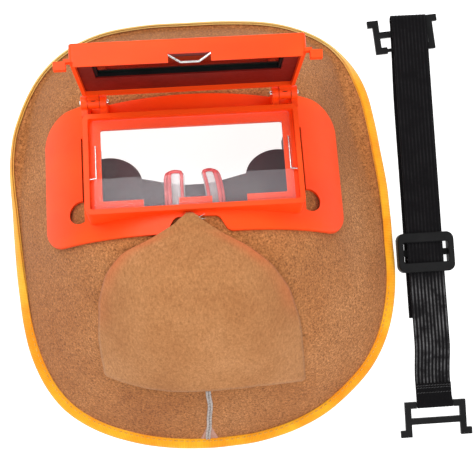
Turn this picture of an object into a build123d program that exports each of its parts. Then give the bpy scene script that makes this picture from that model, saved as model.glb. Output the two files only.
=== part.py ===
from build123d import *
import os
from math import cos, exp, log, pi, radians, sin, sqrt

os.makedirs("parts", exist_ok=True)

# A leather welding mask with flip-up goggles, lying face up, and its elastic head
# strap lying beside it. Millimetres. +X is to the wearer's left as seen from the
# front, +Y to the forehead, +Z out of the face. Z = 0 is the plane of the mask's rim.

# ---- driving dimensions ----------------------------------------------------
# mask rim and leather
RIM_A = 117.0            # half width of the rim
RIM_B = 132.6            # half height of the rim
RIM_LEAN = 5.0           # how far the soft rim lies to the right of the goggles
RIM_POWERS_TOP = (3.2, 3.2)      # superellipse powers up and across, forehead half
RIM_POWERS_CHIN = (3.3, 2.13)    # and of the chin half, which runs to a blunt point
LEATHER_T = 2.0
DOME_TOP = 100.0         # height that the forehead half would rise to
DOME_CHIN = 90.0
BINDING_W = 5.0
BINDING_T = 3.2
BINDING_GAP = 0.8
LEATHER_INSET = BINDING_W - 1.0

# goggles: their own frame stands on the window's centre
WINDOW_Y = 35.5
WINDOW_Z = 80.0
GOGGLE_TILT = 11.4       # lean of the goggles towards the forehead, degrees
FILTER_W = 108.0         # the common 4 1/4 by 2 inch plate
FILTER_H = 50.8
WINDOW_W = 100.0
WINDOW_H = 41.0
BOX_W = 118.0
BOX_H = 57.0
BOX_WALL = 2.7
BOX_RISE = 5.0           # the rim's height over the plate on the centre line
LEDGE_T = 2.0
LENS_T = 2.0
LENS_TOP = -2.3
PLATE_R = 108.0          # the plate wraps round the face on this radius
PLATE_T = 2.5
PLATE_HALF = 86.5
PLATE_TOP = 43.5
PLATE_DIP = 39.5
PLATE_LOW = -36.0
SKIN_GAP = 1.4           # between the plate and the leather under it

# flip-up cover, in a frame that stands on the hinge axis
HINGE_Y = 36.0
HINGE_Z = -1.8
COVER_OPEN = 83.0        # degrees open at rest
COVER_W = 116.0
COVER_NEAR = 4.9         # hinge axis to the near wall
COVER_FAR = 65.5         # hinge axis to the far wall
COVER_LOW = 2.1          # the open side of the tray, over the hinge axis
COVER_HIGH = 11.6
COVER_WALL = 2.0
PIN_R = 1.2
PIN_PLAY = 0.05
LUG_R = 3.5
EAR_R = 3.9

# head strap
STRAP_X = 141.0
STRAP_W = 22.0
STRAP_T = 1.0
STRAP_TOP = 129.0
CLIP_A_Y = -114.8
CLIP_B_X = 138.5
CLIP_B_Y = 108.5
CLIP_T = 2.2
CLIP_TURN = 4.0          # clip B lies turned by this much
SLIDER_Y = -20.9
SLIDER_W = 35.0
SLIDER_L = 24.5


# ---- frames ----------------------------------------------------------------
tilt = radians(GOGGLE_TILT)
goggle = Plane(origin=(0, WINDOW_Y, WINDOW_Z), x_dir=(1, 0, 0), z_dir=(0, sin(tilt), cos(tilt)))
goggle_side = Plane(origin=goggle.origin, x_dir=goggle.y_dir, z_dir=(1, 0, 0))
goggle_end = Plane(origin=goggle.origin, x_dir=(1, 0, 0), z_dir=-goggle.y_dir)
opened = radians(COVER_OPEN)
hinge_point = goggle.from_local_coords(Vector(0, HINGE_Y, HINGE_Z))
cover_out = goggle.y_dir * sin(opened) + goggle.z_dir * cos(opened)
cover = Plane(origin=hinge_point, x_dir=(1, 0, 0), z_dir=cover_out)
cover_side = Plane(origin=hinge_point, x_dir=cover.y_dir, z_dir=(1, 0, 0))


# ---- the mask's surface ----------------------------------------------------
def rim_powers(y):
    return RIM_POWERS_TOP if y > 0 else RIM_POWERS_CHIN


def rim_half(y, inset=0.0):
    """Half width of the rim at height y up the mask."""
    up, across = rim_powers(y)
    return (RIM_A - inset) * max(0.0, 1 - (abs(y) / (RIM_B - inset)) ** up) ** (1 / across)


def rim_lean(y):
    """How far the soft rim lies to the right of the goggles at height y."""
    temple = 2.6 * exp(-(((y - 54) / 30) ** 2))
    cheek = 1.1 * exp(-(((y + 38) / 22) ** 2))
    jaw = 3.6 * exp(-(((y + 108) / 22) ** 2))
    return RIM_LEAN - temple + cheek - jaw


def smooth(t):
    t = min(1.0, max(0.0, t))
    return t * t * (3 - 2 * t)


def plate_back(x, y):
    """Height of the surface just behind the plate, flaring outward beyond its wings."""
    r = PLATE_R - PLATE_T - SKIN_GAP
    edge = min(abs(x), PLATE_HALF)
    root = sqrt(r * r - edge * edge)
    beyond = abs(x) - edge
    sag = r - root + beyond * edge / root - 0.0155 * beyond * beyond
    drop = BOX_RISE + PLATE_T + SKIN_GAP + sag
    return WINDOW_Z - (y - WINDOW_Y) * sin(tilt) / cos(tilt) - drop / cos(tilt)


def skin(x, y):
    """Outer surface of the leather: it hugs the plate and falls to the rim as a dome."""
    half = max(rim_half(y, LEATHER_INSET), 1.0)
    flat = x
    for _ in range(6):
        flat = x - rim_lean(y) * min(1.0, (flat / half) ** 2)
    edge_a, edge_b = RIM_A - LEATHER_INSET, RIM_B - LEATHER_INSET
    power_up, power_across = rim_powers(y)
    across, up = abs(flat / edge_a) ** power_across, abs(y / edge_b) ** power_up
    share = across / (across + up + 1e-9)
    rho = (across + up) ** (share / power_across + (1 - share) / power_up)
    chin = smooth((20 - y) / 60)
    rise = DOME_TOP + (DOME_CHIN - DOME_TOP) * chin
    dome = rise * (1 - rho ** (2.0 - 0.4 * chin))
    hug = plate_back(x, y)
    soft = 2.5
    low = min(dome, hug)
    joined = low - soft * log(exp((low - dome) / soft) + exp((low - hug) / soft))
    return max(joined, 0.3 * RIM_A * (1 - rho))


def crescent(y, left, right, outer, inner, count=15):
    """One cross-section of a bent sheet, from its left edge to its right edge."""
    shares = [-cos(pi * i / (count - 1)) for i in range(count)]
    centre, half = (left + right) / 2, (right - left) / 2
    top = [(centre + s * half, outer(centre + s * half, s)) for s in shares]
    low = [(centre + s * half, inner(centre + s * half, s)) for s in reversed(shares)]
    with BuildSketch(Plane.XZ.offset(-y)) as section:
        with BuildLine():
            Spline(top)
            Line(top[-1], low[0])
            Spline(low)
            Line(low[-1], top[0])
        make_face()
    return section.sketch.face()


def block(plane, x, y, z, mode=Mode.ADD):
    """A box between two limits along each axis of a plane."""
    with BuildSketch(plane.offset(z[0])) as foot:
        with Locations(((x[0] + x[1]) / 2, (y[0] + y[1]) / 2)):
            Rectangle(x[1] - x[0], y[1] - y[0])
    extrude(foot.sketch, amount=z[1] - z[0], mode=mode)


def tube(plane, radius, x, mode=Mode.ADD):
    """A round bar along X, centred on a side plane's origin."""
    with BuildSketch(plane.offset(x[0])) as end:
        Circle(radius)
    extrude(end.sketch, amount=x[1] - x[0], mode=mode)


def keep(piece, label):
    """Name a finished piece and write it."""
    piece.part.label = label
    export_step(piece.part, f"parts/{label}.step")


# ---- leather ---------------------------------------------------------------
SHELL_STATIONS = (-127.6, -124, -119, -112, -104, -94, -82, -69, -56, -42, -28, -14, 0, 14, 28, 42, 56, 69, 82,
                  94, 104, 112, 119, 124, 127.6)


def shell_section(y):
    half = rim_half(y, LEATHER_INSET)
    left, right = rim_lean(y) - half, rim_lean(y) + half

    def outer(x, s):
        return max(skin(x, y), 0.3 + LEATHER_T * (1 - s * s)) + 0.3 * (1 - s ** 8)

    def inner(x, s):
        return max(outer(x, s) - LEATHER_T * (1 + 0.4 * s ** 4), 0.0)

    return crescent(y, left, right, outer, inner)


with BuildPart() as leather_shell:
    loft([shell_section(y) for y in SHELL_STATIONS], ruled=True)
    # the eye opening, and the breathing hole that the nose flap covers
    block(goggle, (-56, 56), (-25, 29), (-60, 20), Mode.SUBTRACT)
    block(goggle, (-15, 15), (-64, -44), (-60, 40), Mode.SUBTRACT)
keep(leather_shell, "leather_shell")


def rim_outline(inset):
    """The rim's outline as four superellipse quarters."""
    steps = 9
    for quarter in range(4):
        power_up, power_across = RIM_POWERS_TOP if quarter in (0, 3) else RIM_POWERS_CHIN
        points = []
        for i in range(steps + 1):
            turn = pi / 2 * (quarter + 1 + i / steps)
            side, up = cos(turn), sin(turn)
            if i in (0, steps):
                side, up = round(side), round(up)
            across = (RIM_A - inset) * abs(side) ** (2 / power_across) * (1 if side > 0 else -1)
            along = (RIM_B - inset) * abs(up) ** (2 / power_up) * (1 if up > 0 else -1)
            points.append((rim_lean(along) + across, along))
        tangents = [(-1, 0), (0, -1), (1, 0), (0, 1), (-1, 0)]
        Spline(points, tangents=tangents[quarter : quarter + 2])


with BuildPart() as edge_binding:
    with BuildSketch():
        with BuildLine():
            rim_outline(0)
        make_face()
        with BuildLine():
            rim_outline(LEATHER_INSET - BINDING_GAP)
        make_face(mode=Mode.SUBTRACT)
    extrude(amount=BINDING_T)
keep(edge_binding, "edge_binding")

# the nose flap: a shield of leather, sewn along its arch and open at its lower edge
FLAP = ((-91.5, 51), (-84, 57), (-66, 58), (-48, 58), (-34, 54), (-22, 46), (-13, 34), (-7, 20), (-2, 11),
        (3.5, 6))
FLAP_BULGE = 15.0
FLAP_GAP = 2.6


def flap_section(y, half):
    lift = FLAP_BULGE * smooth((2 - y) / 90)

    def inner(x, s):
        return skin(x, y) + FLAP_GAP + lift * (1 - s * s)

    return crescent(y, -half, half, lambda x, s: inner(x, s) + LEATHER_T, inner, 11)


with BuildPart() as nose_flap:
    loft([flap_section(y, half) for y, half in FLAP])
keep(nose_flap, "nose_flap")

# the raised seam down the chin
SEAM_X = 2.0
SEAM_W = 4.0
SEAM_T = 1.4
SEAM_GAP = 1.1
with BuildPart() as chin_seam:
    stations = [-126, -119, -110, -100, -88, -74]
    with BuildSketch(Plane.YZ.offset(SEAM_X - SEAM_W / 2)):
        with BuildLine():
            low = [(y, max(skin(SEAM_X, y), LEATHER_T + 0.4) + SEAM_GAP) for y in stations]
            high = [(y, z + SEAM_T) for y, z in reversed(low)]
            Spline(low)
            Line(low[-1], high[0])
            Spline(high)
            Line(high[-1], low[0])
        make_face()
    extrude(amount=SEAM_W)
keep(chin_seam, "chin_seam")

# ---- goggles ---------------------------------------------------------------
WALL_DEPTH = 26.0
LEDGE_TOP = LENS_TOP - LENS_T
POCKET_W = BOX_W - 2 * BOX_WALL
POCKET_H = BOX_H - 2 * BOX_WALL
WINDOW_RADIUS = 1.0
PAD_RECESS = (9.0, 28.0)  # the ledge is cut back where the nose pads pass
PAD_RECESS_Y = -24.4
HOOK_X = 62.0            # inner edge of the strap-hook holes
HOOK_Y = -19.4
HOOK_R = 6.5
HOOK_SHIFT = 2.6         # from that edge to the centre of the round
SLIT_W = 0.9
SLIT_TOP = 24.0
EAR_INNER = (45.7, 49.2)
EAR_OUTER = (56.2, 59.5)
LUG = (49.5, 55.9)


def plate_core(radius, half_length, mode=Mode.ADD):
    """The cylinder that the goggles' plate wraps round."""
    axis_point = goggle.origin - goggle.z_dir * (BOX_RISE + PLATE_R)
    with BuildSketch(Plane(axis_point, x_dir=goggle_end.x_dir, z_dir=goggle_end.z_dir)) as end:
        Circle(radius)
    extrude(end.sketch, amount=half_length, both=True, mode=mode)


def plate_outline():
    """Half of the plate's outline, from the forehead to the nose notch."""
    corners = [(0, PLATE_DIP), (46, PLATE_DIP), (54, PLATE_TOP), (PLATE_HALF, PLATE_TOP)]
    corners += [(PLATE_HALF, PLATE_LOW), (17, PLATE_LOW - 3.8), (12, -31), (0, -31)]
    radii = [5, 5, 17, 13, 4, 4]
    FilletPolyline(*corners, radius=radii)
    Line(corners[-1], corners[0])


with BuildPart() as goggle_plate:
    plate_core(PLATE_R, 50)
    plate_core(PLATE_R - PLATE_T, 51, Mode.SUBTRACT)
    with BuildSketch(goggle):
        with BuildLine():
            plate_outline()
        make_face()
        mirror(about=Plane.YZ)
    extrude(amount=-62, mode=Mode.INTERSECT)

with BuildPart() as box_core:
    with BuildSketch(goggle):
        RectangleRounded(BOX_W, BOX_H, 3)
        RectangleRounded(POCKET_W, POCKET_H, 1.2, mode=Mode.SUBTRACT)
    extrude(amount=-WALL_DEPTH)
    with BuildSketch(goggle.offset(LEDGE_TOP - LEDGE_T)):
        Rectangle(POCKET_W + 1, POCKET_H + 1)
        RectangleRounded(WINDOW_W, WINDOW_H, WINDOW_RADIUS, mode=Mode.SUBTRACT)
    extrude(amount=LEDGE_T)
    for side in (-1, 1):
        x = sorted((side * PAD_RECESS[0], side * PAD_RECESS[1]))
        block(goggle, x, (PAD_RECESS_Y, -WINDOW_H / 2 + 1), (LEDGE_TOP - LEDGE_T - 1, LEDGE_TOP),
              Mode.SUBTRACT)
    # hinge ears stand on the plate behind the box
    for ear in (EAR_INNER, EAR_OUTER):
        for side in (-1, 1):
            x = sorted((side * ear[0], side * ear[1]))
            with BuildSketch(goggle_side.offset(x[0])):
                with Locations((HINGE_Y, HINGE_Z)):
                    Circle(EAR_R)
                with Locations((HINGE_Y - 2, HINGE_Z - 12)):
                    Rectangle(2 * EAR_R + 4, 24)
                with Locations((HINGE_Y, HINGE_Z)):
                    Circle(PIN_R, mode=Mode.SUBTRACT)
            extrude(amount=x[1] - x[0])
    plate_core(PLATE_R - PLATE_T / 2, 60, Mode.SUBTRACT)

with BuildPart() as base_frame:
    add(goggle_plate.part)
    with BuildSketch(goggle):
        RectangleRounded(POCKET_W, POCKET_H, 1.2)
    extrude(amount=-40, mode=Mode.SUBTRACT)
    add(box_core.part)
    for side in (-1, 1):
        # the strap hooks in through a slit that ends in a D-shaped hole
        with BuildSketch(goggle):
            with Locations((side * (HOOK_X + HOOK_SHIFT), HOOK_Y)):
                Circle(HOOK_R)
            with Locations((side * HOOK_X, HOOK_Y)):
                Rectangle(3 * HOOK_R, 3 * HOOK_R, align=(Align.MAX if side > 0 else Align.MIN, Align.CENTER),
                          mode=Mode.SUBTRACT)
            with Locations((side * (HOOK_X + SLIT_W / 2), (SLIT_TOP + HOOK_Y) / 2)):
                Rectangle(SLIT_W, SLIT_TOP - HOOK_Y)
        extrude(amount=-50, mode=Mode.SUBTRACT)
keep(base_frame, "base_frame")

# a ring behind the leather clamps it to the plate
CLAMP_GAP = 0.6
CLAMP_T = 2.0
clamp_r = PLATE_R - PLATE_T - SKIN_GAP - LEATHER_T - 2 * CLAMP_GAP
with BuildPart() as rear_clamp:
    plate_core(clamp_r, 40)
    plate_core(clamp_r - CLAMP_T, 41, Mode.SUBTRACT)
    with BuildSketch(goggle):
        with Locations((0, 1)):
            RectangleRounded(132, 72, 12)
        with Locations((0, 2.5)):
            RectangleRounded(112, 55, 1.5, mode=Mode.SUBTRACT)
    extrude(amount=-50, mode=Mode.INTERSECT)
    block(goggle, (-17, 17), (-40, -24), (-50, 0), Mode.SUBTRACT)
keep(rear_clamp, "rear_clamp")

# the black rubber face seal: side walls, two cheek lobes and a thin band over the nose, open at the brow
SEAL_W = 110.8
SEAL_H = 48.8
SEAL_WALL = 1.8
SEAL_TOP_R = PLATE_R - 8.5
SEAL_DEPTH = 16.0
NOSE_DEPTH = 3.5
NOSE_HALF = 22.0


def seal_edge():
    """The seal's upper edge from the middle to its right side wall."""
    wall = SEAL_W / 2 - SEAL_WALL
    Spline([(0, -10.5), (10, -9.8), (20, -7.2), (29, -4.4)])
    Spline([(29, -4.4), (31.5, 1.5), (37, 7), (44, 10.6), (wall, 12.2)])
    Polyline((wall, 12.2), (wall, SEAL_H / 2), (SEAL_W / 2, SEAL_H / 2), (SEAL_W / 2, -SEAL_H / 2),
             (0, -SEAL_H / 2), (0, -10.5))


with BuildPart() as face_seal:
    with BuildSketch(goggle):
        with BuildLine():
            seal_edge()
        make_face()
        mirror(about=Plane.YZ)
    extrude(amount=-50)
    plate_core(SEAL_TOP_R, 60, Mode.INTERSECT)
    plate_core(SEAL_TOP_R - SEAL_DEPTH, 60, Mode.SUBTRACT)
    with BuildPart(mode=Mode.SUBTRACT):
        plate_core(SEAL_TOP_R - NOSE_DEPTH, 60)
        block(goggle, (-NOSE_HALF, NOSE_HALF), (-30, 30), (-50, 0), Mode.INTERSECT)
    for side in (-1, 1):
        block(goggle, sorted((side * 18.5, side * 29)), (-SEAL_H / 2 - 1, -20.5), (-60, 0), Mode.SUBTRACT)
keep(face_seal, "face_seal")

with BuildPart() as inner_lens:
    with BuildSketch(goggle.offset(LEDGE_TOP)):
        RectangleRounded(FILTER_W, FILTER_H, 1)
    extrude(amount=LENS_T)
keep(inner_lens, "inner_lens")

# bent wires hook into the box's end walls and press on the lens
SPRING_R = 0.4
SPRING_IN = 52.7
SPRING_TOP = 10.5
SPRING_LOW = -8.0
spring_plane = goggle.offset(LENS_TOP + SPRING_R)
for side, name in ((-1, "lens_spring_left"), (1, "lens_spring_right")):
    wall_x = side * POCKET_W / 2
    with BuildPart() as lens_spring:
        with BuildLine(spring_plane) as wire:
            Polyline((side * SPRING_IN, SPRING_TOP), (side * SPRING_IN, SPRING_LOW), (wall_x, SPRING_LOW - 0.4))
        with BuildSketch(Plane(origin=wire.line @ 0, z_dir=wire.line % 0)):
            Circle(SPRING_R)
        sweep(path=wire.line, transition=Transition.RIGHT)
        box_inside = POCKET_W / 2
        block(goggle, (box_inside, box_inside + 9), (-30, 30), (-20, 20), Mode.SUBTRACT)
        block(goggle, (-box_inside - 9, -box_inside), (-30, 30), (-20, 20), Mode.SUBTRACT)
    keep(lens_spring, name)

# clear nose pads splay out behind the window's lower edge, each curved across its width
PAD_SPLAY = 22.0
PAD_X = 12.0
PAD_Y = (-23.8, -3.4)
PAD_Z = -9.2
PAD_W = 11.6
PAD_T = 1.6
PAD_R = 11.0
for side, name in ((-1, "nose_pad_left"), (1, "nose_pad_right")):
    splay = radians(PAD_SPLAY)
    pad_x = goggle.x_dir * cos(splay) - goggle.z_dir * (side * sin(splay))
    root = goggle.from_local_coords(Vector(side * PAD_X, PAD_Y[0], PAD_Z))
    pad_end = Plane(origin=root, x_dir=pad_x, z_dir=goggle.y_dir)
    with BuildPart() as nose_pad:
        with BuildSketch(pad_end):
            with Locations((0, PAD_R)):
                Circle(PAD_R)
                Circle(PAD_R - PAD_T, mode=Mode.SUBTRACT)
            Rectangle(PAD_W, 2 * PAD_R, mode=Mode.INTERSECT)
        extrude(amount=PAD_Y[1] - PAD_Y[0])
        tips = nose_pad.edges().filter_by(lambda e: e.length < 2.5)
        tips = tips.filter_by(lambda e: abs((e % 0.5).dot(goggle.y_dir)) < 0.1)
        fillet(tips.filter_by(lambda e: goggle.to_local_coords(e @ 0.5).Y > PAD_Y[1] - 0.1), 4.0)
    keep(nose_pad, name)

PIN_ENDS = (44.4, 60.4)
for side, name in ((-1, "hinge_pin_left"), (1, "hinge_pin_right")):
    ends = sorted((side * PIN_ENDS[0], side * PIN_ENDS[1]))
    with BuildPart() as hinge_pin:
        tube(Plane(hinge_point, x_dir=goggle.y_dir, z_dir=(1, 0, 0)), PIN_R, ends)
        chamfer(hinge_pin.edges().filter_by(GeomType.CIRCLE), 0.3)
    keep(hinge_pin, name)

# ---- flip-up cover ---------------------------------------------------------
TRAY_X = COVER_W / 2
FACE_T = 2.0
VIEW_W = 98.0
VIEW_H = 43.0
VIEW_Y = -(COVER_NEAR + COVER_FAR) / 2
LIP_LOW = -0.4           # the free end's wall runs on as a thin lip over the box's rim
LIP_T = 0.8
NOTCH = (-10.0, 11.0)
NOTCH_TOP = 4.3
EAR_X = (59.6, 65.6)     # finger ears beside the lip
EAR_Z = (-1.5, 2.6)
EAR_L = 3.8
with BuildPart() as cover_frame:
    block(cover, (-TRAY_X, TRAY_X), (-COVER_FAR, -COVER_NEAR), (COVER_LOW, COVER_HIGH))
    fillet(cover_frame.edges().filter_by(lambda e: abs((e % 0.5).dot(cover.z_dir)) > 0.99), 2.0)
    fillet(cover_frame.edges().filter_by(lambda e: cover.to_local_coords(e @ 0.5).Z > COVER_HIGH - 0.1), 0.9)
    inside = TRAY_X - COVER_WALL
    block(cover, (-inside, inside), (-COVER_FAR + COVER_WALL, -COVER_NEAR - COVER_WALL),
          (COVER_LOW, COVER_HIGH - FACE_T), Mode.SUBTRACT)
    block(cover, (-VIEW_W / 2, VIEW_W / 2), (VIEW_Y - VIEW_H / 2, VIEW_Y + VIEW_H / 2),
          (COVER_LOW, COVER_HIGH + 1), Mode.SUBTRACT)
    block(cover, (-TRAY_X + 2, TRAY_X - 2), (-COVER_FAR, -COVER_FAR + LIP_T), (LIP_LOW, COVER_LOW + 1))
    # the notch for the wire at the free end
    block(cover, NOTCH, (-COVER_FAR - 1, -COVER_FAR + COVER_WALL + 0.5), (LIP_LOW - 1, NOTCH_TOP),
          Mode.SUBTRACT)
    for side in (-1, 1):
        ear_y = (-COVER_FAR, -COVER_FAR + EAR_L)
        block(cover, sorted((side * EAR_X[0], side * EAR_X[1])), ear_y, EAR_Z)
        block(cover, sorted((side * (TRAY_X - 1), side * (EAR_X[0] + 1))), ear_y, (COVER_LOW, EAR_Z[1] + 1.2))
    # lugs on the hinge pins
    for side in (-1, 1):
        x = sorted((side * LUG[0], side * LUG[1]))
        with BuildSketch(cover_side.offset(x[0])):
            Circle(LUG_R)
            with Locations((-COVER_NEAR / 2 - 0.6, 3.4)):
                Rectangle(COVER_NEAR + 1.2, 4.6)
            with Locations((-COVER_NEAR / 2 - 0.6, 1.6)):
                Rectangle(COVER_NEAR + 1.2, 3.6)
        extrude(amount=x[1] - x[0])
        tube(cover_side, PIN_R + PIN_PLAY, (x[0] - 0.1, x[1] + 0.1), Mode.SUBTRACT)
keep(cover_frame, "cover_frame")

# a snap-in frame inside the cover keeps the cartridge in
RETAINER_LOW = 4.4
RETAINER_T = 0.8
RETAINER_FIT = 0.1
RETAINER_X = 48.4
RETAINER_Y = (-60.0, -29.6)
with BuildPart() as cover_retainer:
    margin = COVER_WALL + RETAINER_FIT
    block(cover, (-TRAY_X + margin, TRAY_X - margin), (-COVER_FAR + margin, -COVER_NEAR - margin),
          (RETAINER_LOW, RETAINER_LOW + RETAINER_T))
    block(cover, (-RETAINER_X, RETAINER_X), RETAINER_Y, (RETAINER_LOW - 1, RETAINER_LOW + 2), Mode.SUBTRACT)
keep(cover_retainer, "cover_retainer")

# the auto-darkening cartridge: housing, dark window and the solar strip under the clear plate
HOUSE_LOW = RETAINER_LOW + RETAINER_T + 0.1
HOUSE_HIGH = COVER_HIGH - FACE_T - 1.3
GLASS_X = 47.0
GLASS_Y = (-56.5, -30.6)
GLASS_Z = (HOUSE_LOW + 1.4, HOUSE_HIGH - 0.4)
SOLAR_Y = (-21.0, -12.0)
SOLAR_X = 30.0
with BuildPart() as filter_housing:
    block(cover, (-FILTER_W / 2, FILTER_W / 2), (VIEW_Y - FILTER_H / 2, VIEW_Y + FILTER_H / 2),
          (HOUSE_LOW, HOUSE_HIGH))
    block(cover, (-GLASS_X, GLASS_X), GLASS_Y, (HOUSE_LOW - 1, HOUSE_HIGH + 1), Mode.SUBTRACT)
    block(cover, (-SOLAR_X, SOLAR_X), SOLAR_Y, (HOUSE_HIGH - 1.0, HOUSE_HIGH + 1), Mode.SUBTRACT)
keep(filter_housing, "filter_housing")

with BuildPart() as filter_glass:
    block(cover, (-GLASS_X, GLASS_X), GLASS_Y, GLASS_Z)
keep(filter_glass, "filter_glass")

with BuildPart() as solar_strip:
    block(cover, (-SOLAR_X, SOLAR_X), SOLAR_Y, (HOUSE_HIGH - 1.0, HOUSE_HIGH - 0.2))
keep(solar_strip, "solar_strip")

with BuildPart() as outer_lens:
    block(cover, (-FILTER_W / 2, FILTER_W / 2), (VIEW_Y - FILTER_H / 2, VIEW_Y + FILTER_H / 2),
          (HOUSE_HIGH + 0.1, HOUSE_HIGH + 1.1))
keep(outer_lens, "outer_lens")

# a bent wire across the notch springs against the frame inside
WIRE_R = 0.6
WIRE_Y = -COVER_FAR + LIP_T - WIRE_R - 0.05
WIRE_LOW = -0.5
WIRE_HIGH = 3.4
with BuildPart() as cover_wire:
    wire_point = cover.from_local_coords(Vector(0, WIRE_Y, 0))
    wire_plane = Plane(origin=wire_point, x_dir=cover.x_dir, z_dir=-cover.y_dir)
    with BuildLine(wire_plane) as wire:
        FilletPolyline((NOTCH[0], WIRE_HIGH), (NOTCH[0] + 6, WIRE_LOW), (NOTCH[1] - 6, WIRE_LOW),
                       (NOTCH[1], WIRE_HIGH), radius=1.5)
    with BuildSketch(Plane(origin=wire.line @ 0, z_dir=wire.line % 0)):
        Circle(WIRE_R)
    sweep(path=wire.line)
    for x in ((NOTCH[0] - 4, NOTCH[0]), (NOTCH[1], NOTCH[1] + 4)):
        block(cover, x, (-COVER_FAR - 4, -COVER_FAR + 6), (-3, 12), Mode.SUBTRACT)
keep(cover_wire, "cover_wire")

# ---- head strap ------------------------------------------------------------
BAR_R = 1.1
LOOP_GAP = 0.1
half_t = STRAP_T / 2
table_z = half_t
front_z = 6.4
loop_r = BAR_R + LOOP_GAP + half_t
bar_a_z = STRAP_T + LOOP_GAP + BAR_R
tail_z = STRAP_T + 0.65
BACK_END = -62.0                         # the back layer reaches below the slider
with BuildPart() as strap_webbing:
    with BuildLine(Plane.YZ.offset(STRAP_X)) as route:
        # the sewn tail lies on the strap, then goes round clip A's bar
        leave = (CLIP_A_Y + loop_r * cos(pi / 3), bar_a_z + loop_r * sin(pi / 3))
        down = (leave[1] - tail_z) / sin(pi / 6) * cos(pi / 6)
        FilletPolyline((CLIP_A_Y + 12, tail_z), (leave[0] + down, tail_z), leave, radius=2)
        CenterArc((CLIP_A_Y, bar_a_z), loop_r, 60, 210)
        # up to the fold at the top, then down the back to the slider
        turn_y = STRAP_TOP - 3
        FilletPolyline((CLIP_A_Y, table_z), (-98, table_z), (-79, front_z), (turn_y, front_z), radius=12)
        fold_r = (front_z - table_z) / 2
        CenterArc((turn_y, table_z + fold_r), fold_r, 90, -180)
        Line((turn_y, table_z), (BACK_END, table_z))
    with BuildSketch(Plane(origin=route.line @ 0, x_dir=(1, 0, 0), z_dir=route.line % 0)):
        Rectangle(STRAP_W, STRAP_T)
    sweep(path=route.line, transition=Transition.RIGHT)
keep(strap_webbing, "strap_webbing")

# the slider: two end bars over the front layer and a middle bar under it
BAR_W = 6.0
SLIDER_R = 4.6
OPEN_HALF = 14.0         # half width of the slider's opening
end_bar_z = (front_z + half_t + 0.15, front_z + half_t + 2.2)
mid_bar_z = (2.25, 4.0)
with BuildPart() as slider:
    half_l = SLIDER_L / 2
    with BuildSketch(Plane.XY.offset(mid_bar_z[0])):
        with Locations((STRAP_X, SLIDER_Y)):
            RectangleRounded(SLIDER_W, SLIDER_L, SLIDER_R)
            RectangleRounded(2 * OPEN_HALF, SLIDER_L - 2 * BAR_W, 1.2, mode=Mode.SUBTRACT)
    extrude(amount=end_bar_z[1] - mid_bar_z[0])
    chamfer(slider.faces().sort_by(Axis.Z)[-1].edges(), 0.4)
    opening = (STRAP_X - OPEN_HALF, STRAP_X + OPEN_HALF)
    block(Plane.XY, opening, (SLIDER_Y - half_l - 1, SLIDER_Y + half_l + 1), (mid_bar_z[0] - 1, end_bar_z[0]),
          Mode.SUBTRACT)
    block(Plane.XY, (opening[0] - 1, opening[1] + 1), (SLIDER_Y - 2, SLIDER_Y + 2), mid_bar_z)
keep(slider, "slider")

# the strap's end is sewn round the slider's middle bar and rides with it
with BuildPart() as strap_end_loop:
    low, high = STRAP_T + 0.15, front_z - half_t - 0.15
    with BuildSketch(Plane.YZ.offset(STRAP_X - STRAP_W / 2)):
        with Locations((SLIDER_Y, (low + high) / 2)):
            RectangleRounded(8.5, high - low, (high - low) / 2 - 0.1)
            RectangleRounded(8.5 - 2 * STRAP_T, high - low - 2 * STRAP_T, 0.9, mode=Mode.SUBTRACT)
        with Locations((SLIDER_Y + 4.25 - 0.8, low + STRAP_T / 2)):
            Rectangle(14, STRAP_T, align=(Align.MIN, Align.CENTER))
    extrude(amount=STRAP_W)
keep(strap_end_loop, "strap_end_loop")

# ---- clips -----------------------------------------------------------------
CLIP_W = 38.0
LEG_W = 3.8
CROSS_Y = 10.0
CROSS_W = 3.8
FOOT_Y = 19.6
FOOT_L = 4.2
FOOT_OUT = 3.2


def clip(plane):
    """An H-shaped hook: a bar for the strap, a cross bar, and two legs with outward feet."""
    half_clip = CLIP_T / 2
    bar_half = CLIP_W / 2 - LEG_W
    tube(Plane(plane.origin, x_dir=plane.y_dir, z_dir=plane.x_dir), BAR_R, (-bar_half - 0.5, bar_half + 0.5))
    for side in (-1, 1):
        leg_x = sorted((side * bar_half, side * CLIP_W / 2))
        block(plane, leg_x, (-2.0, FOOT_Y), (-half_clip, half_clip))
        foot_x = sorted((side * bar_half, side * (CLIP_W / 2 + FOOT_OUT)))
        block(plane, foot_x, (FOOT_Y - FOOT_L, FOOT_Y), (-half_clip, half_clip))
        # the bar is flat and wide where the webbing ends
        stub_x = sorted((side * (STRAP_W / 2 + 0.6), side * (bar_half + 1)))
        block(plane, stub_x, (-2.0, 2.0), (-half_clip, half_clip))
    block(plane, (-bar_half - 1, bar_half + 1), (CROSS_Y - CROSS_W / 2, CROSS_Y + CROSS_W / 2),
          (-half_clip, half_clip))


# clip A hangs in the sewn loop, its feet resting on the table
fall = (bar_a_z - CLIP_T / 2 - 0.05) / FOOT_Y
clip_a_plane = Plane((STRAP_X, CLIP_A_Y, bar_a_z), x_dir=(-1, 0, 0), z_dir=(0, -fall, 1))
with BuildPart() as clip_a:
    clip(clip_a_plane)
keep(clip_a, "clip_a")

# clip B lies loose inside the fold, both of its bars between the two layers
bar_b_z = STRAP_T + 0.25 + BAR_R
turn = radians(CLIP_TURN)
clip_b_plane = Plane((CLIP_B_X, CLIP_B_Y, bar_b_z), x_dir=(cos(turn), sin(turn), 0), z_dir=(0, 0, 1))
with BuildPart() as clip_b:
    clip(clip_b_plane)
keep(clip_b, "clip_b")
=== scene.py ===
from math import cos, exp, hypot, log, pi, radians, sin, sqrt

import bmesh
import bpy
from mathutils import Matrix, Vector, noise


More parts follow.
